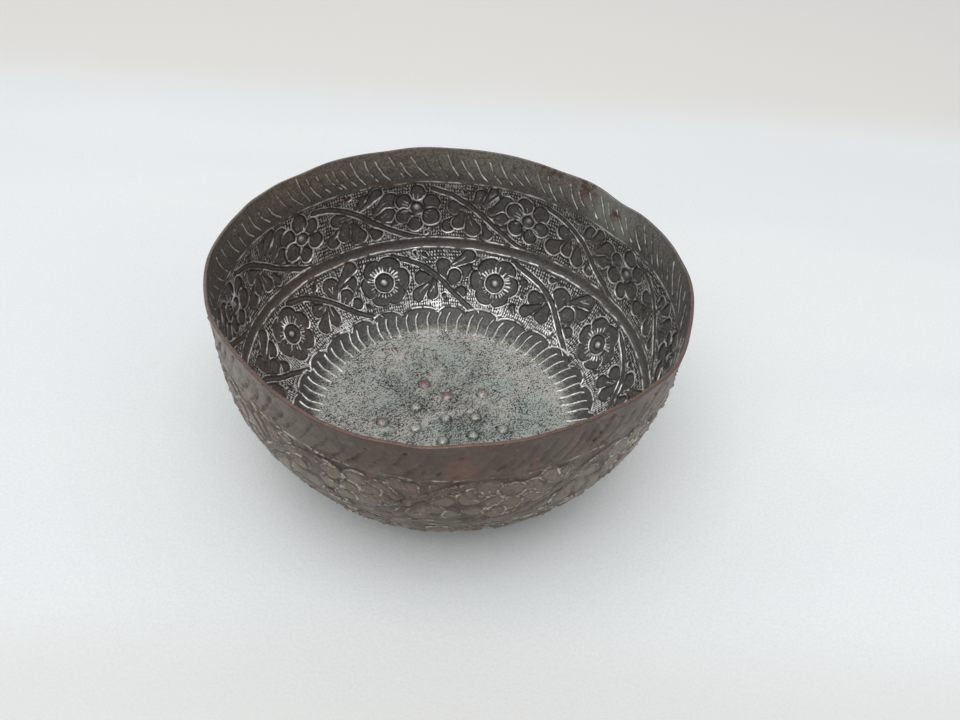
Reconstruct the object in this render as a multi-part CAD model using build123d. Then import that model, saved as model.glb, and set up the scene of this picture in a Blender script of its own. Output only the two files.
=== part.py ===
"""A raised and chased copper bowl, lined with tin: two metals, each in its own node.

The origin is the middle of the flat underside, with +Z up, in millimetres. Both nodes come from one
section line, the face that is seen inside the bowl. A depth is how far a face lies behind that one:
0 is the tin's own face, LINING_THICKNESS is where the tin meets the copper, and SHEET_THICKNESS is
the outside of the bowl. A metal is the cavity under its outer face less the cavity under its inner one.
"""

from build123d import *
from math import cos, exp, radians, sin
import os

# Overall form
RIM_RADIUS = 80.0
HEIGHT = 73.7
COPPER_THICKNESS = 0.9
LINING_THICKNESS = 0.2
SHEET_THICKNESS = COPPER_THICKNESS + LINING_THICKNESS
RIM_EDGE_ROUNDING = 0.3

# Stations of the inner face from the rim to the flat of the floor: radius, height above the underside
RIM = (RIM_RADIUS - SHEET_THICKNESS, HEIGHT)
RIM_ZONE_FOOT = (77.9, 58.8)
UPPER_BAND_MIDDLE = (76.4, 46.6)
UPPER_BAND_FOOT = (73.6, 34.7)
LOWER_BAND_HEAD = (71.9, 30.7)
LOWER_BAND_MIDDLE = (65.6, 19.2)
LOWER_BAND_FOOT = (56.9, 8.7)
FLUTE_RING_MIDDLE = (51.9, 5.6)
FLUTE_RING_FOOT = (46.0, 4.0)
FLOOR_SLOPE = (38.7, 2.9)
FLOOR_FLAT_EDGE = (22.0, SHEET_THICKNESS)
STATIONS = (RIM, RIM_ZONE_FOOT, UPPER_BAND_MIDDLE, UPPER_BAND_FOOT, LOWER_BAND_HEAD, LOWER_BAND_MIDDLE,
            LOWER_BAND_FOOT, FLUTE_RING_MIDDLE, FLUTE_RING_FOOT, FLOOR_SLOPE, FLOOR_FLAT_EDGE)

# Chased border lines, which stand up inside and are grooves outside
BORDERS = (RIM_ZONE_FOOT, UPPER_BAND_FOOT, LOWER_BAND_HEAD)
BORDER_HEIGHT = 0.4
BORDER_WIDTH = 0.6
BORDER_REACH = 3.0
BORDER_CLEARANCE = 1.5
PLAIN_STEPS = 40
BORDER_STEPS = 7
SEARCH_STEPS = 2000

# Round bosses punched up through the floor, a hand-set star: distance and angle from its middle one
BOSS_RADIUS = 2.4
BOSS_HEIGHT = 0.8
STAR_CENTRE = (0.3, -1.5)
INNER_BOSSES = ((11.8, 7), (12.3, 89), (13.0, 156), (12.8, 208), (11.9, 268), (13.7, 323))
OUTER_BOSSES = ((20.6, 46), (20.8, 117), (24.5, 189), (23.0, 249), (22.0, 300), (22.9, 349))


def plain_line():
    """The section of the inner face without its border lines, from the rim to the flat of the floor."""
    points = [(radius, 0, height) for radius, height in STATIONS]
    return Spline(*points, tangents=[(0, 0, -1), (-1, 0, 0)])


def share_nearest(line, station):
    """Where along the line, as a share of its length, a station lies."""
    goal = Vector(station[0], 0, station[1])
    step = min(range(SEARCH_STEPS + 1), key=lambda at: (line @ (at / SEARCH_STEPS) - goal).length)
    return step / SEARCH_STEPS


def sample_shares(line, borders):
    """Even steps along the line, with finer ones across each border line."""
    reach = BORDER_REACH * BORDER_WIDTH / line.length
    clearance = BORDER_CLEARANCE * reach
    shares = [step / PLAIN_STEPS for step in range(PLAIN_STEPS + 1)]
    for border in borders:
        shares = [share for share in shares if abs(share - border) > clearance]
    for border in borders:
        shares += [border + reach * step / BORDER_STEPS for step in range(-BORDER_STEPS, BORDER_STEPS + 1)]
    return sorted(shares)


def relief_at(line, share, borders):
    """How far the border lines push the sheet inwards at a share of the line's length."""
    distances = [(share - border) * line.length / BORDER_WIDTH for border in borders]
    return sum(BORDER_HEIGHT * exp(-distance * distance) for distance in distances)


def face_line(depth):
    """The section of the face at a depth, from the rim's level to the flat of the floor."""
    line = plain_line()
    borders = [share_nearest(line, station) for station in BORDERS]
    points = []
    for share in sample_shares(line, borders):
        place = line @ share
        along = line % share
        behind = depth - relief_at(line, share, borders)
        points.append((place.X - along.Z * behind, 0, place.Z + along.X * behind))
    return Spline(*points)


def cavity(depth):
    """The solid that would fill the bowl up to its rim if its face were the one at this depth."""
    wall = face_line(depth)
    rim_point = wall @ 0
    floor_point = wall @ 1
    lid = Line((0, 0, rim_point.Z), rim_point)
    floor = Line(floor_point, (0, 0, floor_point.Z))
    axis = Line(floor @ 1, lid @ 0)
    plug = revolve(make_face([lid, wall, floor, axis]), Axis.Z)
    return plug - boss_balls(depth)


def boss_balls(depth):
    """Balls whose tops are the bosses of the face at a depth, concentric from face to face."""
    ball_radius = (BOSS_RADIUS ** 2 + BOSS_HEIGHT ** 2) / (2 * BOSS_HEIGHT)
    centre_height = SHEET_THICKNESS + BOSS_HEIGHT - ball_radius
    places = [(0, 0)]
    for distance, angle in INNER_BOSSES + OUTER_BOSSES:
        places.append((distance * cos(radians(angle)), distance * sin(radians(angle))))
    balls = []
    for x, y in places:
        centre = Pos(STAR_CENTRE[0] + x, STAR_CENTRE[1] + y, centre_height)
        balls.append(centre * Sphere(ball_radius - depth))
    return balls


def make_copper_shell():
    """The sheet that carries the bowl: bare copper outside and along the rounded edge of the rim."""
    shell = cavity(SHEET_THICKNESS) - cavity(LINING_THICKNESS)
    rim_edges = shell.edges().group_by(Axis.Z)[-1]
    outer_rim_edge = rim_edges.sort_by(SortBy.LENGTH)[-1]
    return fillet(outer_rim_edge, RIM_EDGE_ROUNDING)


def make_tin_lining():
    """The tin wiped over the inside, up to the rim's inner edge."""
    return cavity(LINING_THICKNESS) - cavity(0)


os.makedirs("parts", exist_ok=True)
export_step(make_copper_shell(), "parts/copper_shell.step")
export_step(make_tin_lining(), "parts/tin_lining.step")
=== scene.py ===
"""The looks of a chased copper bowl with a worn tin lining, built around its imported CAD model.

The ornament is drawn once, in millimetres, on a chart of the bowl's inner face: columns go round the bowl,
and rows go down its section from the rim to the middle of the floor. The drawing says how far the sheet is
pushed in or out. Both pieces are closed meshes made from that one chart, so the outside of the bowl is the
true back of its inside.
"""

from types import SimpleNamespace

import bpy
import numpy as np
from mathutils import Matrix, Vector


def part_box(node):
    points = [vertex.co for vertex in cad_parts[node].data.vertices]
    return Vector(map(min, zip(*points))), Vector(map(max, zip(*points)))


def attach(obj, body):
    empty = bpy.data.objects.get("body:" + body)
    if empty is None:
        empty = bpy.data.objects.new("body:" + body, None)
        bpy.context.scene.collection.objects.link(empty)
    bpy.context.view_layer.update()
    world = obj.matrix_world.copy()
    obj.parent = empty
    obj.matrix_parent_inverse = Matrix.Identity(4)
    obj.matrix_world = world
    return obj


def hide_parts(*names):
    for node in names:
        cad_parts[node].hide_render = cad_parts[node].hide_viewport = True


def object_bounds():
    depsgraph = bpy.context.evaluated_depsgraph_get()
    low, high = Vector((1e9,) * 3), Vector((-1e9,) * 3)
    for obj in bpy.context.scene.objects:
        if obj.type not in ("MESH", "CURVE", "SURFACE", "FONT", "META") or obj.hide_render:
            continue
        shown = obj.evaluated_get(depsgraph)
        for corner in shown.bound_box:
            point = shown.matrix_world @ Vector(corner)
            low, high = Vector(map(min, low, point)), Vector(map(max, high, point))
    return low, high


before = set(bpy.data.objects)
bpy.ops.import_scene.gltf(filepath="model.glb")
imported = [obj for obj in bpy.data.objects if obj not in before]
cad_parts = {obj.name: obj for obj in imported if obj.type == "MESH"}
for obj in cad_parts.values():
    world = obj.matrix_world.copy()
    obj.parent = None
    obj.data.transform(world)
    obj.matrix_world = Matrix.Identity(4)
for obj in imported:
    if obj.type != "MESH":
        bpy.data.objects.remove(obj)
cad_low, cad_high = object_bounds()

# -------- sizes in millimetres, from the frame
MM = 0.001
RIM_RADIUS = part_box("copper_shell")[1].x / MM
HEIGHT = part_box("copper_shell")[1].z / MM
COPPER = RIM_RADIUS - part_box("tin_lining")[1].x / MM
LINING = 0.2
SHEET = COPPER + LINING

# The section of the inner face from the rim to the middle of the floor, as shares of radius and height
STATIONS = (
    (1 - SHEET / RIM_RADIUS, 1.0),
    (0.974, 0.798),
    (0.955, 0.632),
    (0.920, 0.471),
    (0.899, 0.417),
    (0.820, 0.2605),
    (0.711, 0.118),
    (0.649, 0.076),
    (0.575, 0.0543),
    (0.484, 0.0393),
    (0.275, SHEET / HEIGHT),
    (0.0, SHEET / HEIGHT),
)

# The zones of ornament, in millimetres down the section from the rim
RIM_LINE = 14.8
UPPER_MIDDLE = 26.4
UPPER_FOOT = 39.5
LOWER_HEAD = 43.8
LOWER_MIDDLE = 55.7
SCALLOP_TOP = 69.4
SCALLOP_CUSP = 72.0
FLUTES_FOOT = 82.8

# Where the hand-set flowers stand round the bowl, in degrees from +X towards +Y
UPPER_FLOWERS = (28.6, 66.4, 102.0, 141.4, 176.0, 213.0, 250.0, 280.6, 316.0, 352.0)
UPPER_TURNS = (36, 43, 25, 33, 40, 28, 46, 20, 38, 30)
LOWER_FLOWERS = (24.3, 73.9, 116.4, 160.0, 204.5, 249.0, 294.0, 339.0)
UPPER_REPEAT = 48.0
LOWER_REPEAT = 52.0

# The grain of the chart, and the seed of the hand that draws on it
COLUMNS = 1920
ROW_PITCH = 0.26
MEAN_RADIUS = 70
SEED = 11

# How wide a raised line is, and how far the sheet is pushed in or out, in millimetres
LINE_WIDTH = 0.32
LINE_HEIGHT = 0.34
DASH_HEIGHT = 0.24
DOME_HEIGHT = 0.55
HOLLOW_DEPTH = 0.62
OUTER_LINE = 0.38
OUTER_BULGE = 0.76
FURROW_DEPTH = 0.19


# -------- small mathematics
def smooth(value):
    """0 up to 0, 1 from 1 on, and a soft step between."""
    value = np.clip(value, 0.0, 1.0)
    return value * value * (3 - 2 * value)


def bell(distance, width):
    """1 at no distance, falling off softly within about one width."""
    return np.exp(-(distance / width) ** 2)


def polar(reach, turn):
    """The point at a distance and an angle from the middle."""
    return reach * np.cos(turn), reach * np.sin(turn)


def lift(mask, cells, values):
    """Raises cells of a mask to new values, where those are higher."""
    mask[cells] = np.maximum(mask[cells], values)


def smooth_line(points, step):
    """Points at even steps along a smooth curve through points set by hand."""
    points = np.array(points, float)
    length = np.concatenate([[0], np.cumsum(np.linalg.norm(np.diff(points, axis=0), axis=1))])
    slope = np.gradient(points, length, axis=0)
    at = np.linspace(0, length[-1], int(length[-1] / step) + 1)
    i = np.minimum(np.searchsorted(length, at, side="right") - 1, len(points) - 2)
    span = (length[i + 1] - length[i])[:, None]
    t = (at - length[i])[:, None] / span
    start = (2 * t**3 - 3 * t**2 + 1) * points[i] + (t**3 - 2 * t**2 + t) * span * slope[i]
    end = (3 * t**2 - 2 * t**3) * points[i + 1] + (t**3 - t**2) * span * slope[i + 1]
    return start + end


def soften(values, reach, times=2):
    """A running mean over reach samples each way; columns wrap round the bowl."""
    width = 2 * reach + 1
    for _ in range(times):
        values = sum(np.roll(values, shift, axis=1) for shift in range(-reach, reach + 1)) / width
        padded = np.pad(values, ((reach, reach), (0, 0)), "edge")
        values = sum(padded[shift:shift + len(values)] for shift in range(width)) / width
    return values


def make_section():
    """The inner face's section: length down it, radius, height, and the direction into the bowl."""
    line = smooth_line(np.array(STATIONS) * (RIM_RADIUS, HEIGHT), 0.05)
    line[:, 1] = np.maximum(line[:, 1], SHEET)
    length = np.concatenate([[0], np.cumsum(np.hypot(*np.diff(line, axis=0).T))])
    along = np.gradient(line, length, axis=0)
    kernel = np.ones(41) / 41
    along = np.stack([np.convolve(np.pad(part, 20, "edge"), kernel, "valid") for part in along.T])
    along /= np.hypot(*along)
    return length, line[:, 0], line[:, 1], along[1], -along[0]


SECTION = make_section()
LENGTH = SECTION[0][-1]


def section_at(down):
    """Radius, height, and the direction into the bowl, at a length down the section."""
    return [np.interp(down, SECTION[0], part) for part in SECTION[1:]]


def across(x, y, base, tip):
    """How far points lie from the straight line between two points, and their share along it."""
    run, rise = tip[0] - base[0], tip[1] - base[1]
    share = np.clip(((x - base[0]) * run + (y - base[1]) * rise) / (run * run + rise * rise), 0, 1)
    return np.hypot(x - base[0] - share * run, y - base[1] - share * rise), share


def drop(x, y, base, tip, base_radius, tip_radius):
    """How far points lie outside a drop shape, round at its tip and narrow at its base."""
    distance, share = across(x, y, base, tip)
    return distance - base_radius - (tip_radius - base_radius) * share


def beside(x, y, points):
    """How far points lie from a bent line."""
    return np.min([across(x, y, a, b)[0] for a, b in zip(points[:-1], points[1:])], axis=0)


# -------- the chart
class Chart:
    """The inner face laid flat: rows go down the section from the rim, columns go round the bowl."""

    def __init__(self):
        self.down = np.arange(0, LENGTH, ROW_PITCH)
        self.angle = np.arange(COLUMNS) * 360 / COLUMNS
        self.radius, self.height, self.normal_r, self.normal_z = section_at(self.down)
        # Masks: raised lines, sunk leaves and channels, where no ground is punched, the flowers' buttons,
        # dirt together with painted shade in creases and grooves, and the backs of the rim's strokes
        masks = np.zeros((6, len(self.down), COLUMNS))
        self.line, self.hollow, self.bare, self.dome, self.dirt, self.furrow = masks
        self.seed = SEED
        self.hand = np.random.default_rng(SEED)
        # How far the drawing strays across and down, how the rim wavers up and out, how hard lines press
        self.wander = [0.3 * self.noise(6) + 0.12 * self.noise(2) for _ in range(2)]
        self.waver = [self.noise(14)[0], self.noise(11)[0]]
        self.pressure = 0.7 + 0.65 * self.noise(3) + 0.45 * self.noise(1.2)

    def noise(self, size, stretch=1.0):
        """Soft noise from -1 to 1 over the chart, in cells of a size in millimetres."""
        self.seed += 1
        cells = max(4, int(2 * np.pi * MEAN_RADIUS / size))
        rows = int(LENGTH / (size * stretch)) + 3
        values = np.random.default_rng(self.seed).uniform(-1, 1, (rows, cells))
        x = self.angle[None, :] / 360 * cells
        y = self.down[:, None] / (size * stretch)
        x0, y0 = np.floor(x).astype(int), np.floor(y).astype(int)
        fx, fy = smooth(x - x0), smooth(y - y0)
        left, right = x0 % cells, (x0 + 1) % cells
        top = values[y0, left] * (1 - fx) + values[y0, right] * fx
        foot = values[y0 + 1, left] * (1 - fx) + values[y0 + 1, right] * fx
        return top * (1 - fy) + foot * fy

    def patch(self, angle, down, left, right, rise, fall, scale=1.0):
        """A patch round a place: its cells, and how far right and up each lies, in millimetres."""
        mm_per_column = 2 * np.pi * section_at(down)[0] / COLUMNS
        middle = angle / 360 * COLUMNS
        columns = np.arange(int(middle - right / mm_per_column), int(middle + left / mm_per_column) + 1)
        rows = np.flatnonzero((self.down > down - rise) & (self.down < down + fall))
        cells = np.ix_(rows, columns % COLUMNS)
        x = (middle - columns)[None, :] * mm_per_column / scale + self.wander[0][cells]
        y = (down - self.down[rows])[:, None] + self.wander[1][cells]
        return cells, x, y

    def sink(self, cells, distance, bed=1.6, outline=0.8, depth=1.0):
        """Sinks the inside of a shape, clears what was drawn there, raises a line along its edge, and
        paints shade in a crease on both sides of that line.
        """
        inside = smooth(-distance / 0.4)
        edge = bell(distance, LINE_WIDTH) * outline * self.pressure[cells]
        fall = np.clip(-distance / bed, 0, 1)
        self.line[cells] = np.maximum(self.line[cells] * (1 - inside), edge)
        hollow = np.where(distance < 0, depth * fall * (2 - fall), self.hollow[cells])
        self.hollow[cells] = hollow * (1 - 0.85 * bell(distance, 0.45) * np.minimum(1, 1.4 * outline))
        lift(self.bare, cells, smooth(0.9 - distance / 0.6))
        # Painted shade: a dark line in the crease just inside and just outside the edge.
        crease = bell(np.abs(distance) - 0.66, 0.3) * np.minimum(1, outline)
        self.dirt[cells] = np.maximum(self.dirt[cells] * (1 - inside), crease)

    def draw(self, cells, distance, strength=0.9, width=LINE_WIDTH):
        """Raises a line of its own, where distance is how far points lie from it."""
        lift(self.line, cells, bell(distance, width) * strength * self.pressure[cells])
        lift(self.bare, cells, bell(distance, 2 * width))


# -------- the ornament
# The strokes under the rim: degrees from one to the next, where they crowd, and their middle, top and foot
STROKE_PITCH = 3.75
CROWDED_AT = 125
STROKE_MIDDLE = 8.4
STROKE_TOP = (-2.9, 4.3)
STROKE_FOOT = (3.0, -4.1)
STROKE_WIDTH = 0.28

BORDER_WIDTH = 0.36
EVERYWHERE = slice(None)


def draw_rim_strokes(chart):
    """Long slanting strokes, one after another, round the zone under the rim."""
    angle = 0.0
    hand = chart.hand
    while angle < 358.0:
        crowd = bell(angle - CROWDED_AT, 5)
        angle += (STROKE_PITCH - 1.2 * crowd) * hand.uniform(0.84, 1.16)
        cells, x, y = chart.patch(angle, STROKE_MIDDLE, 5, 5, 7.4, 6.2)
        top = STROKE_TOP + hand.normal(0, (0.3, 0.8))
        foot = STROKE_FOOT + hand.normal(0, (0.35, 0.5))
        middle = (top + foot) / 2 - (hand.normal(0.6, 0.2), 0.4)
        line = smooth_line((top, middle, foot), 1.2)
        # A groove beside each stroke, sunk a little, with painted shade along it.
        groove = bell(beside(x - 0.55, y, line), 0.35)
        lift(chart.hollow, cells, 0.16 * groove)
        lift(chart.dirt, cells, 0.4 * groove)
        away = beside(x, y, line)
        chart.draw(cells, away, hand.uniform(0.8, 1.25), STROKE_WIDTH)
        lift(chart.furrow, cells, bell(away, 0.6) * hand.uniform(0.4, 1.0))


# Stems as points, and leaves as base, tip and radius: millimetres to the right of a flower and up from it
UPPER_STEM = ((6, 8.4), (14, 6.2), (24, 0.4), (34, -7), (44, -12), (50, -13.6))
UPPER_LEAVES = (
    ((20.5, 1.2), (15.4, 0.9), 3.1),
    ((17.0, -3.2), (12.6, -7.0), 3.1),
    ((18.5, -1.5), (18.0, -5.6), 2.9),
    ((22.0, -3.0), (23.6, -7.8), 3.3),
    ((24.0, 2.5), (26.8, 6.2), 3.0),
    ((31.0, 0.0), (36.6, 4.4), 3.6),
    ((27.5, 3.0), (31.6, 8.6), 2.4),
    ((31.0, -3.4), (35.8, -2.0), 2.9),
    ((37.0, -6.4), (41.0, -4.0), 2.5),
    ((28.5, -6.5), (30.4, -9.8), 2.3),
)

LOWER_STEM = ((6, 9.2), (14, 6.4), (23, 1), (32, -7), (40, -12.4), (46, -15.6))
LOWER_LEAVES = (
    ((21.5, -0.2), (17.2, -1.3), 3.2),
    ((23.8, -2.2), (23.4, -7.4), 3.2),
    ((20.5, -4.0), (16.2, -8.4), 3.2),
    ((27.2, -0.5), (27.6, 4.4), 3.7),
    ((31.5, 1.0), (37.6, 3.0), 3.3),
    ((31.5, 4.2), (38.6, 8.9), 2.9),
    ((29.8, -4.6), (33.4, -1.4), 3.2),
    ((33.2, -8.4), (37.2, -6.6), 2.8),
)


def jitter(hand, point, amount):
    """A point moved a little, as a hand would."""
    return point + hand.normal(0, amount, 2)


def draw_leaf(chart, patch, base, tip, radius):
    """A hollow leaf with its outline, and a vein or a short V of strokes along its middle."""
    cells, x, y = patch
    hand = chart.hand
    base = jitter(hand, base, 0.25)
    tip = jitter(hand, tip, 0.3)
    radius *= hand.uniform(0.9, 1.08)
    share = across(x, y, base, tip)[1]
    outline = hand.uniform(0.75, 1.1) * (0.35 + 0.65 * smooth(1.6 * share))
    chart.sink(cells, drop(x, y, base, tip, 0.42 * radius, 1.12 * radius), 0.9, outline, 0.75)
    style = hand.integers(0, 3)
    run = tip - base
    if style == 0:
        chart.draw(cells, beside(x, y, (base, base + 0.8 * run)), 0.65, 0.26)
    if style == 1:
        side = 0.9 * np.array((-run[1], run[0])) / np.hypot(*run)
        for end in (tip - side, tip + side):
            chart.draw(cells, beside(x, y, ((base + tip) / 2, end)), 0.6, 0.24)


def draw_stem(chart, patch, points, half_width):
    """A long hollow stem between two raised lines."""
    cells, x, y = patch
    line = smooth_line([jitter(chart.hand, point, 0.15) for point in points], 0.9)
    away = beside(x, y, line)
    chart.sink(cells, away - half_width, 0.5, 0.8, 0.5)
    chart.draw(cells, away, 0.3, 0.2)


# The upper flowers' heart, and the lower ones' ring, edge and first cusp between lobes
HEART_RADIUS = 3.0
RING_RADIUS = 4.5
ROSETTE_RADIUS = 9.2
FIRST_CUSP = 35


def draw_upper_flower(chart, angle, first_turn):
    """Six round petals that overlap round a smaller one, each with a few strokes at its foot."""
    cells, x, y = chart.patch(angle, UPPER_MIDDLE, 13, 13, 11.8, 12.6)
    hand = chart.hand
    x, y = x + 0.4 + hand.normal(0, 0.25), y + hand.normal(0, 0.25)
    turns = np.radians(np.arange(first_turn, first_turn + 360, 60) + hand.normal(0, 4, 6))
    for turn in turns:
        petal_x, petal_y = polar(hand.uniform(6.4, 7.1), turn)
        petal = np.hypot(x - petal_x, y - petal_y) - hand.uniform(3.3, 4.2)
        chart.sink(cells, petal, 1.2, hand.uniform(0.8, 1.2), 0.85)
    for turn in turns:
        for side in (-0.34, 0, 0.34):
            aim = turn + side + hand.normal(0, 0.06)
            ends = (polar(4.0, aim), polar(hand.uniform(5.2, 6.8), aim))
            chart.draw(cells, beside(x, y, ends), hand.uniform(0.45, 1.0), 0.25)
    far = np.hypot(x, y)
    chart.sink(cells, far - HEART_RADIUS, 1.6, 0.9)
    lift(chart.dome, cells, smooth(1.5 - far / 1.1))


def draw_lower_flower(chart, angle):
    """A six-lobed rosette: a button in a ring, fine rays round the ring, and hollow petals."""
    cells, x, y = chart.patch(angle, LOWER_MIDDLE, 14, 14, 11.6, 13)
    hand = chart.hand
    x, y = x + hand.normal(0, 0.2), y + 1 + hand.normal(0, 0.2)
    tilt = hand.normal(0, 5)
    far = np.hypot(x, y)
    turn = np.degrees(np.arctan2(y, x))
    lobes = np.abs(np.sin(np.radians(3 * (turn - FIRST_CUSP - tilt)))) ** 0.55
    edge = ROSETTE_RADIUS + lobes * (2.1 + 0.35 * np.sin(np.radians(turn - hand.uniform(0, 360))))
    chart.sink(cells, (far - edge) * 0.95, 1.3, 1.0, 0.85)
    for cusp in np.radians(np.arange(FIRST_CUSP, FIRST_CUSP + 360, 60) + tilt):
        bend = hand.uniform(0.1, 0.22)
        ends = (polar(9.4, cusp), polar(8.2, cusp + bend / 2), polar(7.0, cusp + bend * 1.3))
        chart.draw(cells, beside(x, y, ends), hand.uniform(0.3, 0.75), 0.28)
    for ray in np.arange(0, 360, 13.8):
        aim = np.radians(ray + hand.normal(0, 1.5))
        ends = (polar(5.0, aim), polar(hand.uniform(6.2, 7.2), aim))
        chart.draw(cells, beside(x, y, ends), hand.uniform(0.6, 1.2), 0.36)
    chart.sink(cells, far - RING_RADIUS, 2.0, 1.1, 0.8)
    lift(chart.dome, cells, smooth(1.6 - far / 0.95))
    lift(chart.hollow, cells, bell(far - 2.1, 0.7) * 0.9)
    lift(chart.dirt, cells, bell(far - 1.9, 0.4) * 0.7)


def draw_band(chart, flowers, repeat, down, stem, leaves, half_width, rise, fall):
    """The leaves and stem that run from each flower to the next one on its right."""
    radius = section_at(down)[0]
    runs = []
    for here, there in zip(flowers, flowers[-1:] + flowers[:-1]):
        gap = np.radians((here - there) % 360) * radius
        runs.append(chart.patch(here, down, -4, gap + 1, rise, fall, gap / repeat))
    for patch in runs:
        for base, tip, size in leaves:
            draw_leaf(chart, patch, base, tip, size)
    for patch in runs:
        draw_stem(chart, patch, stem, half_width)


def fill_gaps(chart, top, foot):
    """Small leaves wherever the ground between the motifs is still empty enough to take one."""
    hand = chart.hand
    for size in (3.3, 2.7, 2.1, 1.7, 1.35):
        for _ in range(1000):
            angle, down = hand.uniform(0, 360), hand.uniform(top + size, foot - size)
            cells, x, y = chart.patch(angle, down, 6, 6, 6, 6)
            turn = hand.uniform(0, 2 * np.pi)
            base, tip = polar(-size, turn), polar(0.4 * size, turn)
            distance = drop(x, y, base, tip, 0.4 * size, 0.85 * size)
            if np.max(chart.bare[cells][distance < 0.55], initial=0) < 0.5:
                draw_leaf(chart, (cells, x, y), base, tip, 0.75 * size)


# The dashes of the punched ground: their spacing and how far each reaches, across and down
DASH_PITCH = (1.12, 1.5)
DASH_REACH = (0.32, 0.6)


def punch_ground(chart, top, foot):
    """The punched ground between the motifs: rows of short raised dashes. Returns its rows and dashes."""
    pitch_across, pitch_down = DASH_PITCH
    count = int(2 * np.pi * section_at((top + foot) / 2)[0] / pitch_across)
    rows = np.flatnonzero((chart.down > top) & (chart.down < foot))
    u = chart.angle[None, :] / 360 * count + 0.9 * chart.wander[0][rows]
    v = chart.down[rows][:, None] / pitch_down + 0.8 * chart.wander[1][rows]
    hand = np.random.default_rng(SEED + count)
    shift = hand.uniform(-0.14, 0.14, (2, int(v.max()) + 4, count))
    strength = hand.uniform(0.45, 1.0, shift.shape[1:])
    lean = 0.9 * chart.noise(9)[rows]
    dashes = np.zeros(u.shape)
    for step_v in (-1, 0, 1):
        for step_u in (-1, 0, 1):
            i = np.clip(np.floor(v).astype(int) + step_v, 0, shift.shape[1] - 1)
            j = (np.floor(u).astype(int) + step_u) % count
            du = (u - np.floor(u) - step_u - 0.5 - shift[0][i, j]) * pitch_across
            dv = (v - np.floor(v) - step_v - 0.5 - shift[1][i, j]) * pitch_down
            side = du * np.cos(lean) - dv * np.sin(lean)
            end = du * np.sin(lean) + dv * np.cos(lean)
            dash = bell(np.hypot(side / DASH_REACH[0], end / DASH_REACH[1]), 1)
            dashes = np.maximum(dashes, dash * strength[i, j])
    rails = bell(v - np.round(v), 0.14) * (0.1 + 0.7 * chart.noise(4)[rows])
    dashes = np.maximum(dashes, rails)
    fade = smooth((chart.down[rows] - top) / 0.4) * smooth((foot - chart.down[rows]) / 0.4)
    return rows, dashes, fade[:, None]


SCALLOPS = 26
SCALLOP_RADIUS = 54
FLUTES = 73


def draw_scallops(chart):
    """A ring of small arches, points down, below the lower band. Returns a mask of what lies below."""
    place = chart.angle / 360 * SCALLOPS
    cell = np.floor(place).astype(int)
    width = np.random.default_rng(SEED + 1).uniform(-0.14, 0.14, SCALLOPS + 1)
    width[-1] = width[0]
    left = cell + width[cell]
    right = cell + 1 + width[cell + 1]
    share = np.clip((place - left) / (right - left), 0, 1)
    taller = np.random.default_rng(SEED + 2).uniform(-0.35, 0.35, SCALLOPS)[cell]
    rounded = np.sqrt(np.clip(1 - (2 * share - 1) ** 2, 0, 1)) ** 1.3
    arch = SCALLOP_CUSP - (SCALLOP_CUSP - SCALLOP_TOP + taller) * rounded
    steep = np.hypot(1, np.clip(np.gradient(arch) / (2 * np.pi * SCALLOP_RADIUS / COLUMNS), -2, 2))
    distance = (chart.down[:, None] - arch[None, :] + 0.3 * chart.wander[0]) / steep
    chart.draw(EVERYWHERE, distance, 1.2, 0.42)
    below = smooth((chart.down[:, None] - arch) / 0.8)
    lift(chart.bare, EVERYWHERE, below)
    return below


def draw_flutes(chart, below):
    """Raised ribs that run from the arches down to the floor, with hollows between them."""
    down = chart.down[:, None]
    lean = 1.5 * np.clip((76.5 - down) / 4.5, 0, 1.3) ** 1.7 - 0.5 * smooth((down - 79.5) / 4)
    turned = chart.angle[None, :] + np.degrees(lean / np.maximum(chart.radius[:, None], 30))
    place = turned / 360 * FLUTES + 0.25 * chart.wander[0]
    hand = np.random.default_rng(SEED + 3)
    shift = hand.uniform(-0.1, 0.1, FLUTES)
    foot = FLUTES_FOOT + hand.uniform(-1.0, 0.6, FLUTES)
    strength = hand.uniform(0.75, 1.0, FLUTES)
    cell_width = 2 * np.pi * chart.radius[:, None] / FLUTES
    rib = np.zeros(place.shape)
    for step in (-1, 0, 1):
        k = (np.floor(place).astype(int) + step) % FLUTES
        distance = (place - np.floor(place) - step - 0.5 - shift[k]) * cell_width
        fade = smooth((foot[k] - down) / 1.6) * smooth((down - 71.4) / 1.2)
        rib = np.maximum(rib, bell(distance, 0.45) * fade * strength[k])
    lift(chart.line, EVERYWHERE, rib * (0.7 + 0.4 * chart.pressure))
    channel = below * smooth((80.6 - down) / 2.2) * (1 - smooth(rib * 1.4))
    chart.hollow[:] = np.maximum(chart.hollow * (1 - below), 0.55 * channel)


# The star of bosses on the floor: distance and angle of each from its middle one, and its worn-out copper
STAR_CENTRE = (0.3, -1.5)
STAR = ((0, 0, 0), (11.8, 7, 0), (12.3, 89, 0.8), (13.0, 156, 0), (12.8, 208, 0), (11.9, 268, 0),
        (13.7, 323, 0), (20.6, 46, 0.4), (20.8, 117, 1.1), (24.5, 189, 0.65), (23.0, 249, 0),
        (22.0, 300, 0), (22.9, 349, 0))
BOSS_RADIUS = 2.4
BOSS_HEIGHT = 1.05
MOAT_DEPTH = 0.15

# A last, flattened boss: how far it lies from the star's middle one, its radius and its height
FAINT_BOSS = (5.9, -9.0)
FAINT_RADIUS = 1.7
FAINT_HEIGHT = 0.25


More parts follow.
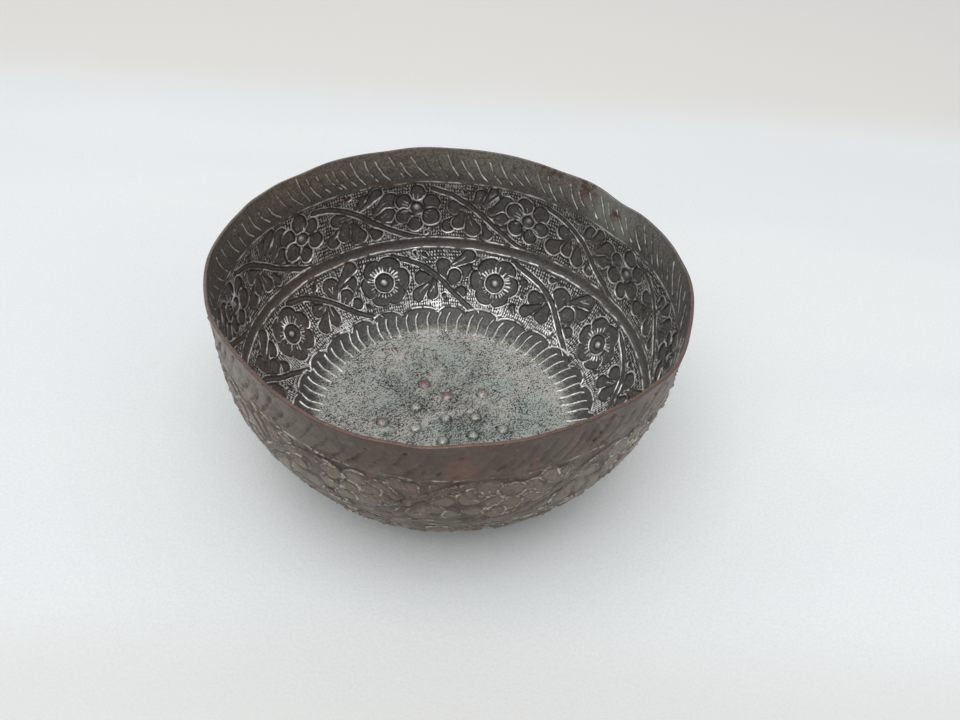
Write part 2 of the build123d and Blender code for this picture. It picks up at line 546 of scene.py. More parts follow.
def raise_bosses(chart):
    """Round bosses on the floor. Returns how far they stand up, their tops, worn and painted with a
    highlight, and their copper.
    """
    angle = np.radians(chart.angle)[None, :]
    x = chart.radius[:, None] * np.cos(angle) - STAR_CENTRE[0]
    y = chart.radius[:, None] * np.sin(angle) - STAR_CENTRE[1]
    rise, top, moat, copper = np.zeros((4, *x.shape))
    for distance, turn, worn in STAR:
        boss_x, boss_y = polar(distance, np.radians(turn))
        away = np.hypot(x - boss_x, y - boss_y)
        rise = np.maximum(rise, BOSS_HEIGHT * np.clip(1 - (away / BOSS_RADIUS) ** 2.6, 0, 1) ** 1.1)
        top = np.maximum(top, smooth(2.1 - away / 1.1))
        moat = np.maximum(moat, bell(away - BOSS_RADIUS, 0.42))
        copper = np.maximum(copper, smooth(2.2 - away / 1.1) * worn)
    faint = np.hypot(x - FAINT_BOSS[0], y - FAINT_BOSS[1])
    rise = np.maximum(rise, FAINT_HEIGHT * np.clip(1 - (faint / FAINT_RADIUS) ** 2, 0, 1))
    return rise - MOAT_DEPTH * moat, top, moat, copper


def draw_ornament():
    """Fills the chart and gives it the push of the sheet and the masks that the metals are coloured by."""
    chart = Chart()
    draw_rim_strokes(chart)
    draw_band(chart, UPPER_FLOWERS, UPPER_REPEAT, UPPER_MIDDLE, UPPER_STEM, UPPER_LEAVES, 1.3, 11.8, 13.4)
    for angle, first_turn in zip(UPPER_FLOWERS, UPPER_TURNS):
        draw_upper_flower(chart, angle, first_turn)
    draw_band(chart, LOWER_FLOWERS, LOWER_REPEAT, LOWER_MIDDLE, LOWER_STEM, LOWER_LEAVES, 1.4, 11.6, 15.5)
    for angle in LOWER_FLOWERS:
        draw_lower_flower(chart, angle)
    for border, strength in ((RIM_LINE, 0.9), (UPPER_FOOT, 0.85), (LOWER_HEAD, 1.0)):
        distance = chart.down[:, None] - border + 0.9 * chart.wander[0]
        chart.draw(EVERYWHERE, distance, strength, BORDER_WIDTH)
    between_bands = bell(chart.down[:, None] - (UPPER_FOOT + LOWER_HEAD) / 2, 1.5)
    lift(chart.hollow, EVERYWHERE, 0.5 * between_bands)
    # Dirt and painted shade along the groove between the bands.
    lift(chart.dirt, EVERYWHERE, 0.3 * between_bands)
    below = draw_scallops(chart)
    fill_gaps(chart, RIM_LINE + 0.9, UPPER_FOOT - 0.9)
    fill_gaps(chart, LOWER_HEAD + 0.9, SCALLOP_TOP - 0.5)
    draw_flutes(chart, below)

    chart.net = np.zeros(chart.line.shape)
    for top, foot in ((RIM_LINE + 0.3, UPPER_FOOT - 0.3), (LOWER_HEAD + 0.3, SCALLOP_CUSP + 0.5)):
        rows, dashes, fade = punch_ground(chart, top, foot)
        ground = fade * (1 - chart.bare[rows])
        crowd = 1 + 0.5 * smooth((chart.down[rows] - 56) / 10)[:, None]
        chart.net[rows] = np.minimum(dashes * crowd, 1) * ground
        lift(chart.dirt, rows, (0.85 - 1.3 * dashes).clip(0, 1) * ground)
    bosses, tops, chart.moat, chart.copper = raise_bosses(chart)
    chart.top = np.maximum(tops, chart.dome)
    settled = smooth((chart.radius[:, None] - 14) / 24)
    facets = settled * (0.07 * chart.noise(9) + 0.05 * chart.noise(5))
    edge_dents = 0.12 * chart.noise(7, 4.0) * smooth(1 - chart.down[:, None] / 18)
    chart.push = (LINE_HEIGHT * chart.line + DOME_HEIGHT * chart.dome - HOLLOW_DEPTH * chart.hollow
                  + DASH_HEIGHT * chart.net + bosses + facets + edge_dents)
    return chart


# -------- the two closed metal skins
# Where the rim has been knocked: angle and spread in degrees, then how far up and how far out
RIM_KNOCKS = (
    (38, 7, -0.9, -1.0),
    (62, 14, -0.4, -0.4),
    (95, 10, 0.5, 0.0),
    (183, 9, 0.0, 0.5),
    (220, 11, 0.8, -1.2),
    (252, 11, -1.1, 1.0),
    (266, 6, -1.0, 0.2),
    (298, 16, 0.6, -0.5),
    (328, 8, -0.8, 1.0),
)
KNOCK_REACH = 36.0
RIM_WAVER = 0.28

# Inside this radius the mesh takes every second column, inside half of it every fourth, and so on
FULL_RADIUS = 46.0
WIDEST_STEP = 64
LEAST_RADIUS = 0.8
HIDDEN_STEP = 4


def place_face(chart, push, depth):
    """Every point of a face that lies a depth behind the inner face, pushed in by the relief."""
    angle = np.radians(chart.angle)[None, :]
    fade = smooth(1 - chart.down / KNOCK_REACH)[:, None]
    up, out = (RIM_WAVER * waver[None, :] for waver in chart.waver)
    for knock, spread, knock_up, knock_out in RIM_KNOCKS:
        away = (chart.angle - knock + 180) % 360 - 180
        up = up + knock_up * bell(away, spread)
        out = out + knock_out * bell(away, spread)
    radius = chart.radius[:, None] + chart.normal_r[:, None] * (push - depth) + out * fade
    height = chart.height[:, None] + chart.normal_z[:, None] * (push - depth) + up * fade
    return np.stack([radius * np.cos(angle), radius * np.sin(angle), height], axis=-1)


def column_step(radius, finest):
    """From one column to the next, so that the mesh stays even towards the middle of the floor."""
    step = 1
    reach = FULL_RADIUS
    while radius < reach and step < WIDEST_STEP:
        step *= 2
        reach /= 2
    return max(finest, step)


class Skin:
    """A closed mesh made ring by ring: from the middle of one face over the rim to that of the other."""

    def __init__(self, chart):
        self.chart = chart
        self.rings = []
        self.marks = []
        self.uv = []

    def add_ring(self, points, marks, disc, down, step):
        """Adds one ring of points, every step-th column, with its marks and its place on the texture."""
        middle, radius = disc
        reach = radius * (LENGTH - down + 1) / (LENGTH + 1)
        self.rings.append(points)
        self.marks.append(marks)
        self.uv.append(middle + np.stack(polar(reach, np.radians(self.chart.angle[::step])), axis=-1))

    def add_face(self, points, marks, first_row, skip, inwards, disc):
        """Adds every skip-th row and column of a face, from the middle out or from the rim in."""
        chart = self.chart
        rows = [row for row in range(first_row, len(chart.down), skip) if chart.radius[row] > LEAST_RADIUS]
        for row in rows if inwards else rows[::-1]:
            step = column_step(chart.radius[row], skip)
            ring_marks = {name: values[row, ::step] for name, values in marks.items()}
            self.add_ring(points[row, ::step], ring_marks, disc, chart.down[row], step)

    def build(self, name, mark_names):
        """Makes the mesh object, closed at both middles, with its marks as point attributes."""
        first, last = self.rings[0].mean(axis=0), self.rings[-1].mean(axis=0)
        counts = [len(ring) for ring in self.rings]
        starts = np.concatenate([[0], np.cumsum(counts)])
        points = np.vstack(self.rings + [first[None], last[None]]) * MM
        faces = [fan(starts[0], counts[0], starts[-1], False)]
        for i in range(len(counts) - 1):
            faces += stitch(starts[i], counts[i], starts[i + 1], counts[i + 1])
        faces.append(fan(starts[-2], counts[-1], starts[-1] + 1, True))
        mesh = mesh_from(name, points, faces)
        for mark in mark_names:
            values = [marks.get(mark, 0) + np.zeros(count) for marks, count in zip(self.marks, counts)]
            values.append([np.mean(values[0]), np.mean(values[-1])])
            layer = mesh.attributes.new(mark, "FLOAT", "POINT")
            layer.data.foreach_set("value", np.concatenate(values).astype(np.float32))
        middles = [self.uv[0].mean(axis=0)[None], self.uv[-1].mean(axis=0)[None]]
        uv = np.vstack(self.uv + middles).astype(np.float32)
        corners = np.empty(len(mesh.loops), np.int32)
        mesh.loops.foreach_get("vertex_index", corners)
        mesh.uv_layers.new(name="OFBake").data.foreach_set("uv", uv[corners].ravel())
        piece = bpy.data.objects.new(name, mesh)
        bpy.context.scene.collection.objects.link(piece)
        return piece


def fan(start, count, middle, inwards):
    """Triangles from a ring to the middle point of its face."""
    here = start + np.arange(count)
    there = start + (np.arange(count) + 1) % count
    middle = np.full(count, middle)
    return np.stack([middle, there, here] if inwards else [middle, here, there], axis=-1)


def stitch(a, count_a, b, count_b):
    """Faces between a ring and the next one, which has as many points, twice as many, or half."""
    if count_a == count_b:
        j = np.arange(count_a)
        k = (j + 1) % count_a
        return [np.stack([a + j, b + j, b + k, a + k], axis=-1)]
    coarse = min(count_a, count_b)
    j = np.arange(coarse)
    k = (j + 1) % coarse
    fine, middle, next_fine = 2 * j, 2 * j + 1, 2 * k
    if count_a < count_b:
        triangles = ((a + j, b + fine, b + middle), (a + j, b + middle, a + k),
                     (a + k, b + middle, b + next_fine))
    else:
        triangles = ((b + j, a + middle, a + fine), (b + j, b + k, a + middle),
                     (b + k, a + next_fine, a + middle))
    return [np.stack(corners, axis=-1) for corners in triangles]


def mesh_from(name, points, faces):
    """A smooth-shaded mesh from arrays of triangles and quads."""
    mesh = bpy.data.meshes.new(name)
    sizes = np.concatenate([np.full(len(block), block.shape[1]) for block in faces])
    corners = np.concatenate([block.ravel() for block in faces]).astype(np.int32)
    mesh.vertices.add(len(points))
    mesh.vertices.foreach_set("co", points.astype(np.float32).ravel())
    mesh.loops.add(len(corners))
    mesh.loops.foreach_set("vertex_index", corners)
    mesh.polygons.add(len(sizes))
    mesh.polygons.foreach_set("loop_start", (np.cumsum(sizes) - sizes).astype(np.int32))
    mesh.update(calc_edges=True)
    mesh.polygons.foreach_set("use_smooth", np.ones(len(sizes), bool))
    mesh.validate()
    return mesh


# Where the faces lie on the texture square: the middle of a disc along both sides, and its radius
FRONT_UV = (0.5, 0.49)
HIDDEN_UV = (0.09, 0.08)

# The hidden faces: how far the copper's stands behind the lining's edge, and how deep both lie lower down
RIM_GAP = 0.02
LINING_BACK = 0.5
COPPER_BACK = 0.62
EDGE_DROP = 0.3

# The rounded top of the copper: depth in the sheet, how far below the rim, and how bare the metal is there
RIM_PROFILE = (
    (LINING + RIM_GAP, 0.0, 0.9),
    (0.45, -0.05, 1.0),
    (0.72, -0.02, 0.6),
    (0.95, 0.12, 0.05),
    (SHEET, 0.34, 0.0),
)


def hidden_depth(chart, start, end):
    """The depth of a hidden face: thin at the rim, then settling to its own depth."""
    return start + (end - start) * smooth(chart.down / 3)[:, None]


TIN_MARKS = ("line", "hollow", "net", "top", "moat", "copper", "dirt")


def build_lining(chart):
    """The tin: its chased face, up to the rim's inner edge, and a hidden back."""
    marks = {name: getattr(chart, name) for name in TIN_MARKS}
    marks["down"] = np.broadcast_to(chart.down[:, None], chart.line.shape)
    skin = Skin(chart)
    skin.add_face(place_face(chart, chart.push, 0), marks, 0, 1, False, FRONT_UV)
    edge = place_face(chart, chart.push, LINING)[0]
    skin.add_ring(edge[::2], {}, HIDDEN_UV, 0, 2)
    skin.add_ring(edge[::4] - (0, 0, EDGE_DROP), {}, HIDDEN_UV, EDGE_DROP, 4)
    back = place_face(chart, soften(chart.push, 2), hidden_depth(chart, LINING, LINING_BACK))
    skin.add_face(back, {}, HIDDEN_STEP, HIDDEN_STEP, True, HIDDEN_UV)
    return skin.build("tinned_lining", list(marks))


def build_copper(chart):
    """The copper: its hidden inner face, the bare rounded rim, and the outside."""
    # Where the inside is hollow the outside bulges, and where it has a line the outside has a crease
    bulge = OUTER_BULGE * np.clip(0.85 + 1.5 * chart.noise(9), 0.3, 1.5)
    crease = OUTER_LINE * np.clip(1 + 1.1 * chart.noise(5), 0.4, 1.7)
    outer_push = soften(chart.push + (HOLLOW_DEPTH - bulge) * chart.hollow, 1, 1)
    outer_push = outer_push - (LINE_HEIGHT + crease) * chart.line + (FURROW_DEPTH + crease) * chart.furrow

    # Painted glints beside the furrows go into the line mark; the dark mark holds dirt and painted shade
    # in the creases, grooves and furrows.
    glint = np.clip(np.roll(chart.furrow, 3, axis=1) - chart.furrow, 0, 1)
    below_rim_zone = smooth((chart.down[:, None] - 13) / 2)
    dirt = np.minimum(1.25 * chart.dirt, 1) * (0.35 + 0.65 * below_rim_zone)
    marks = {"line": np.maximum(chart.line * (1 - chart.furrow), 0.45 * glint),
             "hollow": soften(chart.hollow, 1, 1),
             "dirt": np.maximum(dirt, 0.12 * chart.furrow)}
    skin = Skin(chart)
    inner = place_face(chart, soften(chart.push, 2), hidden_depth(chart, LINING + RIM_GAP, COPPER_BACK))
    skin.add_face(inner, {}, HIDDEN_STEP, HIDDEN_STEP, False, HIDDEN_UV)
    edge = [place_face(chart, chart.push, depth)[0] - (0, 0, below) for depth, below, _ in RIM_PROFILE]
    skin.add_ring(edge[0][::4], {"rim": 1}, HIDDEN_UV, 0, 4)
    for ring, (_, _, bare) in zip(edge, RIM_PROFILE):
        skin.add_ring(ring[::2], {"rim": bare}, FRONT_UV, -1, 2)
    outside = place_face(chart, outer_push, SHEET)
    outside[..., 2] = np.maximum(outside[..., 2], 0)
    skin.add_face(outside, marks, 2, 2, True, FRONT_UV)
    return skin.build("chased_copper_shell", list(marks) + ["rim"])


# -------- materials
def tone(red, green, blue):
    """A colour from screen values of 0 to 255."""
    shares = np.array([red, green, blue]) / 255
    linear = np.where(shares < 0.04045, shares / 12.92, ((shares + 0.055) / 1.055) ** 2.4)
    return (*linear, 1.0)


class Shader:
    """One procedural material, built node by node."""

    def __init__(self, name):
        self.material = bpy.data.materials.new(name)
        self.material.use_nodes = True
        self.tree = self.material.node_tree
        self.surface = self.tree.nodes["Principled BSDF"]
        self.place = self.add("TexCoord").outputs["Object"]

    def connect(self, socket, value):
        if isinstance(value, bpy.types.NodeSocket):
            self.tree.links.new(value, socket)
        else:
            socket.default_value = value

    def add(self, kind, inputs=None, **settings):
        node = self.tree.nodes.new("ShaderNode" + kind)
        for name, value in settings.items():
            setattr(node, name, value)
        for name, value in (inputs or {}).items():
            self.connect(node.inputs[name], value)
        return node

    def marks(self, *names):
        """The masks that the mesh carries, by name."""
        return SimpleNamespace(**{name: self.add("Attribute", attribute_name=name).outputs["Fac"]
                                  for name in names})

    def axes(self):
        """The place on the bowl as X, Y and Z in millimetres."""
        return self.add("SeparateXYZ", {0: self.stretched((1 / MM,) * 3)}).outputs

    def math(self, operation, first, second=0.0):
        return self.add("Math", {0: first, 1: second}, operation=operation).outputs[0]

    def times(self, *factors):
        product = factors[0]
        for factor in factors[1:]:
            product = self.math("MULTIPLY", product, factor)
        return product

    def most(self, *values):
        largest = values[0]
        for value in values[1:]:
            largest = self.math("MAXIMUM", largest, value)
        return largest

    def ramp(self, value, low, high, to_low=0.0, to_high=1.0):
        """A soft step from one value to another as the input goes from low to high."""
        inputs = {"Value": value, "From Min": low, "From Max": high, "To Min": to_low, "To Max": to_high}
        return self.add("MapRange", inputs, interpolation_type="SMOOTHSTEP").outputs[0]

    def mix(self, share, first, second):
        node = self.add("Mix", {0: share, 6: first, 7: second}, data_type="RGBA")
        return node.outputs[2]

    def coats(self, colour, *coats):
        """A colour with others laid over it in turn, each as its share and its colour."""
        for share, coat in coats:
            colour = self.mix(share, colour, coat)
        return colour

    def blend(self, share, first, second):
        """The same as mix, for numbers."""
        return self.add("Mix", {0: share, 2: first, 3: second}, data_type="FLOAT").outputs[0]

    def noise(self, size, detail=2.0, roughness=0.5, place=None):
        """Noise of a size in millimetres, about 0.3 to 0.7."""
        inputs = {"Vector": place or self.place, "Scale": 1 / (size * MM), "Detail": detail,
                  "Roughness": roughness}
        return self.add("TexNoise", inputs).outputs["Fac"]

    def stretched(self, factors, turn=0.0):
        """The place on the bowl, turned by degrees about +Z and then scaled along each axis."""
        turned = self.add("VectorRotate", {"Vector": self.place, "Angle": np.radians(turn)},
                          rotation_type="Z_AXIS").outputs[0]
        return self.add("VectorMath", {0: turned, 1: factors}, operation="MULTIPLY").outputs[0]

    def near(self, point, reach):
        """1 at a point of the bowl, falling off over a reach, both in millimetres."""
        inputs = {0: self.place, 1: Vector(point) * MM}
        away = self.add("VectorMath", inputs, operation="DISTANCE").outputs["Value"]
        return self.ramp(away, 0.2 * reach * MM, reach * MM, 1.0, 0.0)

    def bump(self, height, distance, strength=1.0):
        """A normal from a height, where distance is its real size in millimetres."""
        inputs = {"Height": height, "Distance": distance * MM, "Strength": strength}
        return self.add("Bump", inputs).outputs["Normal"]

    def finish(self, **values):
        for name, value in values.items():
            self.connect(self.surface.inputs[name.replace("_", " ").title()], value)
        return self.material


def spot(angle, down):
    """A place on the inner face, from its angle round the bowl and its length down the section."""
    radius, height = section_at(down)[:2]
    return (*polar(radius, np.radians(angle)), height)


def worn_tin():
    """The lining: tin rubbed bright on all that stands up, and brown-black where it lies deep, with
    painted shade in its creases and at the flutes' outer ends.
    """
    tin = Shader("worn_tin")
    marks = tin.marks(*TIN_MARKS, "down")
    axes = tin.axes()
    noises = SimpleNamespace(
        blotch=tin.noise(4, 4, 0.65),
        grain=tin.noise(0.9, 3, 0.7),
        fine=tin.noise(0.35, 2, 0.6),
        wear=tin.noise(3.2, 5, 0.75, tin.stretched((1.0, 1.0, 2.2))),
    )
    sides = tin.ramp(tin.math("ABSOLUTE", axes[0]), 28, 62)
    sides = tin.times(sides, tin.ramp(marks.down, 12, 20))
    patina = tin_patina(tin, marks, noises, axes, sides)
    shine = tin_shine(tin, marks, noises, sides)
    bed, specks = tin_floor(tin, marks, noises, axes)

    ragged = tin.math("ADD", tin.times(noises.blotch, 4.0), tin.times(tin.noise(1.3, 3, 0.7), 5.0))
    floor = tin.ramp(tin.math("ADD", marks.down, ragged), 80.5, 86.5)
    flute_specks = tin.times(specks, tin.ramp(marks.down, 71, 77, 0.0, 0.6))
    worn_through = tin.times(marks.copper, 0.85, tin.ramp(noises.grain, 0.3, 0.5))
    metal = tin.coats(
        patina,
        (shine, tone(248, 247, 243)),
        (floor, bed),
        (flute_specks, tone(46, 42, 39)),
        (worn_through, tone(146, 92, 86)),
    )
    bright = tin.most(shine, floor)
    height = tin.math("ADD", noises.grain, tin.times(noises.fine, 0.5))
    return tin.finish(
        base_color=metal,
        metallic=tin.blend(floor, tin.ramp(bright, 0.0, 0.6, 0.3, 0.6), 0.5),
        roughness=tin.blend(floor, tin.ramp(bright, 0.0, 1.0, 0.5, 0.4), 0.45),
        normal=tin.bump(height, 0.12, 0.6),
    )


def tin_patina(tin, marks, noises, axes, sides):
    """The dark of the lining: warmer to the left, greyer to the right, paler at the sides and the rim,
    with dirt and painted shade in creases and grooves and painted shade at the flutes' outer ends.
    """
    down, blotch, grain = marks.down, noises.blotch, noises.grain
    side = tin.ramp(axes[0], -60, 62)
    clouded = tin.ramp(tin.noise(14, 3, 0.6), 0.4, 0.62, 0.0, 0.6)
    cool = tin.times(tin.ramp(down, 40, 50), tin.ramp(axes[0], -75, -30, 0.1, 0.75))
    under_rim = tin.times(tin.ramp(down, 5, 15, 1.0, 0.0), tin.ramp(blotch, 0.35, 0.6, 0.5, 1.0),
                          tin.ramp(axes[1], -20, 45, 0.15, 1.0))
    scratches = tin.noise(1.0, 3, 0.7, tin.stretched((1.0, 1.0, 5.0)))
    streaked = tin.most(tin.ramp(scratches, 0.52, 0.66, 0.0, 0.5),
                        tin.times(tin.ramp(noises.wear, 0.55, 0.7), tin.ramp(down, 16, 45, 0.7, 0.1)))
    bleached = tin.most(tin.near(spot(43, 5), 14), tin.near(spot(36, 8), 11))
    bleached = tin.times(bleached, tin.ramp(blotch, 0.35, 0.5, 0.5, 1.0))
    rusty = tin.most(*(tin.near(spot(*place), reach) for place, reach in
                       (((50, 1.5), 10), ((38, 6.5), 5), ((62, 0), 9))))
    rusty = tin.times(rusty, tin.ramp(tin.noise(2.2, 4, 0.7), 0.44, 0.54), 0.85)
    bed = tin.mix(tin.ramp(tin.noise(2.4, 4, 0.75), 0.4, 0.62), tone(58, 53, 52), tone(100, 97, 95))
    # Lighter mottling lower in the flutes' channels, so that the painted shade at their outer ends fades
    # towards the floor.
    channels = tin.times(tin.ramp(down, 72, 76),
                         tin.ramp(tin.noise(1.1, 3, 0.75), 0.46, 0.6, 0.0, 0.6))
    return tin.coats(
        tin.mix(side, tone(90, 77, 70), tone(108, 105, 98)),
        (clouded, tone(86, 82, 79)),
        (cool, tone(80, 83, 88)),
        (tin.times(sides, 0.4), tin.mix(side, tone(142, 118, 102), tone(148, 143, 134))),
        # Painted shade: darker from the arches down into the flutes.
        (tin.ramp(down, 69, 72, 0.0, 0.8), tone(70, 71, 72)),
        (under_rim, tin.mix(side, tone(132, 118, 103), tone(144, 141, 132))),
        (streaked, tone(150, 146, 138)),
        (tin.ramp(grain, 0.4, 0.65, 0.0, 0.6), tone(52, 46, 42)),
        (bleached, tone(150, 150, 140)),
        (rusty, tone(98, 62, 50)),
        (tin.times(marks.hollow, 0.55), bed),
        # Dirt and painted shade in creases and grooves.
        (marks.dirt, tone(36, 31, 28)),
        (channels, tone(124, 124, 121)),
    )


def tin_shine(tin, marks, noises, sides):
    """How far the tin is rubbed bright: more on what stands up, lower down and at the sides."""
    lower = tin.most(tin.ramp(marks.down, 20, 60, 0.54, 1.05), tin.ramp(marks.down, 13, 16, 0.78, 0.0))
    rubbed = tin.ramp(tin.noise(9, 2, 0.5), 0.35, 0.62, 0.6, 1.05)
    broken = tin.times(tin.ramp(noises.grain, 0.32, 0.5, 0.5, 1.0),
                       tin.ramp(noises.wear, 0.42, 0.6, 1.0, 0.65))
    raised = tin.most(tin.ramp(marks.line, 0.26, 0.6), tin.ramp(marks.net, 0.2, 0.52),
                      tin.times(marks.top, 0.8))
    shine = tin.times(raised, lower, rubbed, broken, tin.ramp(sides, 0, 1, 1.12, 1.4))
    return tin.math("MINIMUM", shine, 1.0)


def tin_floor(tin, marks, noises, axes):
    """The pale floor of the bowl, full of dark specks and scores, with dirt and painted shadow round the
    bosses and painted highlights on their tops. Returns its colour and the specks.
    """
    green = tin.times(tin.ramp(tin.noise(22, 3, 0.6), 0.4, 0.6),
                      tin.ramp(axes[0], -56, -14, 0.1, 1.0))
    star = tin.near((-2, -2, SHEET), 42)
    dusty = tin.math("SUBTRACT", tin.ramp(tin.noise(9, 4, 0.75), 0.36, 0.6, 0.585, 0.535),
                     tin.times(star, 0.02))
    pits = tin.math("SUBTRACT", tin.noise(0.58, 3, 0.75), dusty)
    slant = tin.stretched((1.0, 0.35, 1.0), 38)
    scores = tin.math("SUBTRACT", tin.noise(0.48, 3, 0.75, slant), dusty)
    specks = tin.most(tin.ramp(pits, -0.006, 0.02), tin.ramp(scores, 0.004, 0.03, 0.0, 0.95))
    smudged = tin.times(star, tin.ramp(tin.noise(5, 3, 0.6), 0.45, 0.62, 0.0, 0.32))
    # Dirt and painted shadow in a ring round each boss.
    moat = tin.times(marks.moat, tin.ramp(noises.blotch, 0.35, 0.6, 0.3, 0.85))
    verdigris = tin.times(tin.near((-22, -11.8, SHEET), 2.4), tin.ramp(noises.fine, 0.4, 0.5))
    ribs = tin.times(tin.ramp(marks.line, 0.2, 0.6), tin.ramp(marks.down, 84.5, 81.0), 0.8)
    bed = tin.coats(
        tin.mix(green, tone(206, 204, 196), tone(186, 193, 186)),
        (specks, tone(36, 32, 30)),
        (smudged, tone(104, 99, 92)),
        (moat, tone(58, 54, 49)),
        # Painted highlight on the bosses' tops, which are also worn.
        (tin.times(marks.top, 0.75), tone(204, 204, 196)),
        (verdigris, tone(30, 92, 76)),
        (ribs, tone(226, 226, 220)),
    )
    return bed, specks


def aged_copper():
    """The outside: brown copper, worn paler and painted with highlights where it stands proud, bare along
    the rim's edge, with painted reflections paler at the left and right, a painted dark reflection down
    the middle, and painted shade in its creases.
    """
    copper = Shader("aged_copper")
    marks = copper.marks("line", "hollow", "dirt", "rim")
    axes = copper.axes()
    cloud = copper.noise(16, 3, 0.6)
    blotch = copper.noise(5, 4, 0.65)
    grain = copper.noise(0.9, 3, 0.7)
    flecks = copper.noise(1.6, 4, 0.75, copper.stretched((1.0, 1.0, 0.6)))
    from_middle = copper.math("ABSOLUTE", axes[0])

    olive = copper.ramp(copper.noise(9, 4, 0.7), 0.54, 0.66, 0.0, 0.5)
    # Painted reflection of the pale room, paler towards the left and right of the outside.
    painted_side_reflection = copper.times(copper.ramp(from_middle, 36, 72), copper.ramp(cloud, 0.36, 0.6, 0.3, 0.65))
    # Dirt and painted shade in the creases and furrows, darker in blotches.
    dirty = copper.times(marks.dirt, copper.ramp(blotch, 0.38, 0.58, 0.55, 1.0))
    # Where the outside bulges: worn paler, and painted as a highlight.
    proud_wear_and_highlight = copper.times(marks.hollow, copper.ramp(blotch, 0.4, 0.55), 0.65)
    # Raised outlines worn pale with painted highlights along them, and painted glints beside the furrows.
    rubbed = copper.times(copper.ramp(marks.line, 0.25, 0.6),
                          copper.ramp(copper.noise(2.4, 4, 0.75), 0.41, 0.56))
    rim_zone = copper.times(copper.ramp(axes[2], 54, 66),
                            copper.ramp(axes[0], -62, -30, 0.0, 0.65))
    # Painted dark reflection: darker down the middle of the outside, away from the left and right.
    middle = copper.times(copper.ramp(from_middle, 42, 12), copper.ramp(blotch, 0.36, 0.6, 0.15, 0.55))

    patch = copper.times(copper.near((5.5, -79.5, 63.5), 7), copper.ramp(blotch, 0.35, 0.6))
    streaks = copper.noise(6, 4, 0.7, copper.stretched((1.0, 1.0, 0.5)))
    bare = copper.times(copper.most(patch, copper.ramp(streaks, 0.58, 0.68, 0.0, 0.6)), 0.7)
    from_left = copper.math("SUBTRACT", copper.times(axes[0], 0.5), copper.times(axes[1], 0.87))
    handled = copper.ramp(from_left, -30, 50, 0.25, 1.0)
    edge = copper.times(marks.rim, handled, copper.ramp(copper.noise(1.6, 3, 0.7), 0.38, 0.58, 0.2, 1.0))
    metal = copper.coats(
        copper.mix(copper.ramp(cloud, 0.4, 0.6), tone(102, 82, 72), tone(106, 97, 80)),
        (copper.ramp(blotch, 0.42, 0.62, 0.0, 0.5), tone(70, 59, 55)),
        (olive, tone(66, 66, 56)),
        (painted_side_reflection, tone(127, 115, 104)),
        (dirty, tone(32, 27, 24)),
        (proud_wear_and_highlight, tone(146, 131, 114)),
        (rubbed, tone(204, 195, 180)),
        (copper.ramp(flecks, 0.56, 0.66, 0.0, 0.5), tone(160, 145, 127)),
        (copper.ramp(grain, 0.48, 0.7, 0.0, 0.6), tone(54, 46, 42)),
        (rim_zone, tone(74, 60, 54)),
        (middle, tone(78, 68, 58)),
        (copper.most(bare, edge), tone(124, 80, 69)),
    )
    return copper.finish(
        base_color=metal,
        metallic=0.4,
        roughness=copper.ramp(blotch, 0.35, 0.65, 0.34, 0.46),
        normal=copper.bump(copper.math("ADD", grain, blotch), 0.12, 0.7),
    )


# -------- the stage
STAGE_GAP = 0.2
STAGE_SIZE = 4.0
STAGE_MIDDLE = 0.6


def make_floor():
    """A wide pale surface with a faint grain, soft cool bands, a warmer strip far off, and painted shade
    that darkens it near by.
    """
    place = (0, STAGE_MIDDLE, cad_low.z - STAGE_GAP * MM)
    bpy.ops.mesh.primitive_plane_add(size=STAGE_SIZE, location=place)
    floor = bpy.context.object
    floor.name = "floor"
    shader = Shader("pale_floor")
    bands = shader.noise(160, 2, 0.5, shader.stretched((0.35, 1.6, 1.0)))
    far = shader.axes()[1]
    grain = shader.noise(1.1, 4, 0.8)
    colour = shader.coats(
        tone(235, 237, 236),
        (shader.ramp(bands, 0.35, 0.65), tone(230, 233, 233)),
        (shader.ramp(far, -360, -280), tone(227, 223, 216)),
        # Painted shade: the floor darker near by, in front of the bowl.
        (shader.ramp(far, -675, -720), tone(221, 221, 218)),
        (shader.ramp(grain, 0.35, 0.65, 0.0, 0.35), tone(214, 215, 215)),
    )
    floor.data.materials.append(
        shader.finish(base_color=colour, roughness=0.55, normal=shader.bump(grain, 0.25, 0.6)))


ROOM_COLOUR = (0.93, 0.96, 1.0, 1.0)
ROOM_LIGHT = 0.72
LAMP_PLACE = (-0.15, -0.42, 1.25)
LAMP_SIZE = 1.2
LAMP_POWER = 10.0
LAMP_COLOUR = (1.0, 0.99, 0.97)


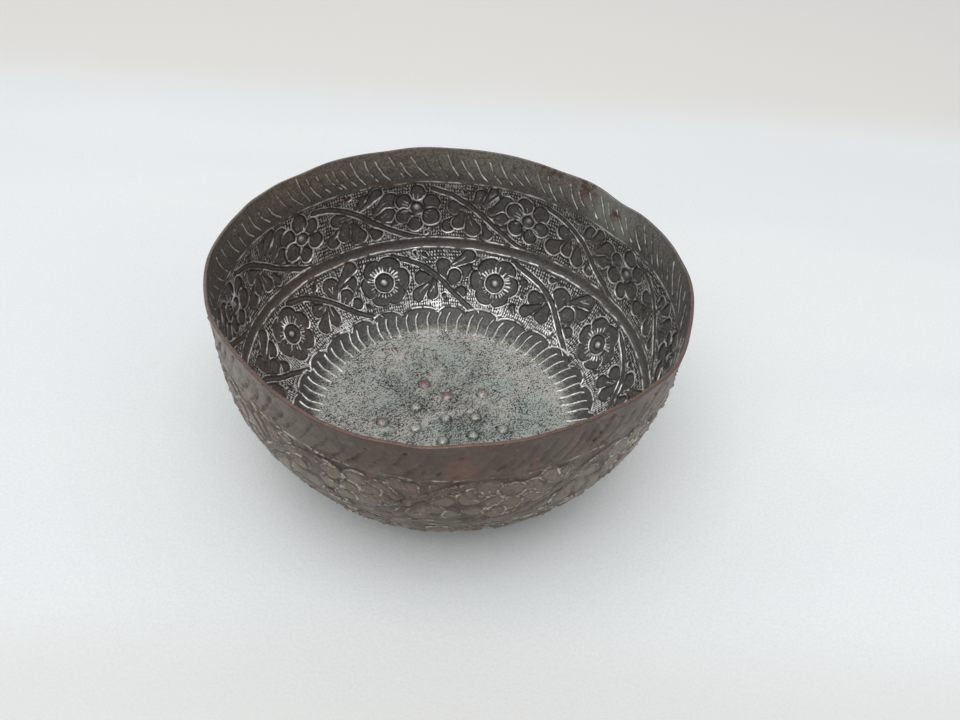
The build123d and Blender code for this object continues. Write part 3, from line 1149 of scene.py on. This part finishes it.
def light_scene():
    """An even, pale room, and one large soft lamp above the bowl and a little in front."""
    scene = bpy.context.scene
    world = bpy.data.worlds.new("pale_room")
    world.use_nodes = True
    background = world.node_tree.nodes["Background"]
    background.inputs["Color"].default_value = ROOM_COLOUR
    background.inputs["Strength"].default_value = ROOM_LIGHT
    scene.world = world

    light = bpy.data.lights.new("overhead", "AREA")
    light.size, light.energy, light.color = LAMP_SIZE, LAMP_POWER, LAMP_COLOUR
    lamp = bpy.data.objects.new("overhead", light)
    lamp.location = LAMP_PLACE
    lamp.rotation_euler = (-lamp.location).to_track_quat("-Z", "Y").to_euler()
    scene.collection.objects.link(lamp)
    scene.view_settings.view_transform = "Standard"


# The camera: how it stands to the middle of the rim, in degrees and in rim radii
CAMERA_DISTANCE = 3.4607
CAMERA_ELEVATION = 36.017
CAMERA_PAN = -2.225
CAMERA_TILT = -6.438
CAMERA_ROLL = -3.516
CAMERA_LENS = 30.95
SENSOR_WIDTH = 36.0


def make_camera():
    """A camera that looks down into the bowl from the front, panned, tilted and rolled a little."""
    scene = bpy.context.scene
    data = bpy.data.cameras.new("camera")
    data.sensor_fit = "HORIZONTAL"
    data.sensor_width, data.lens = SENSOR_WIDTH, CAMERA_LENS
    data.clip_start, data.clip_end = 0.01, 20.0
    aimed = Matrix.Rotation(np.radians(90 - CAMERA_ELEVATION), 4, "X")
    away = aimed @ Vector((0, 0, CAMERA_DISTANCE * RIM_RADIUS * MM))
    for turn, axis in ((CAMERA_PAN, "Y"), (CAMERA_TILT, "X"), (-CAMERA_ROLL, "Z")):
        aimed = aimed @ Matrix.Rotation(np.radians(turn), 4, axis)
    camera = bpy.data.objects.new("camera", data)
    camera.matrix_world = Matrix.Translation(Vector((0, 0, HEIGHT * MM)) + away) @ aimed
    scene.collection.objects.link(camera)
    scene.camera = camera


make_camera()
light_scene()
make_floor()

ornament = draw_ornament()
lining = build_lining(ornament)
lining.data.materials.append(worn_tin())
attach(lining, "root")
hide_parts("tin_lining")

shell = build_copper(ornament)
shell.data.materials.append(aged_copper())
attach(shell, "root")
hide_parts("copper_shell")
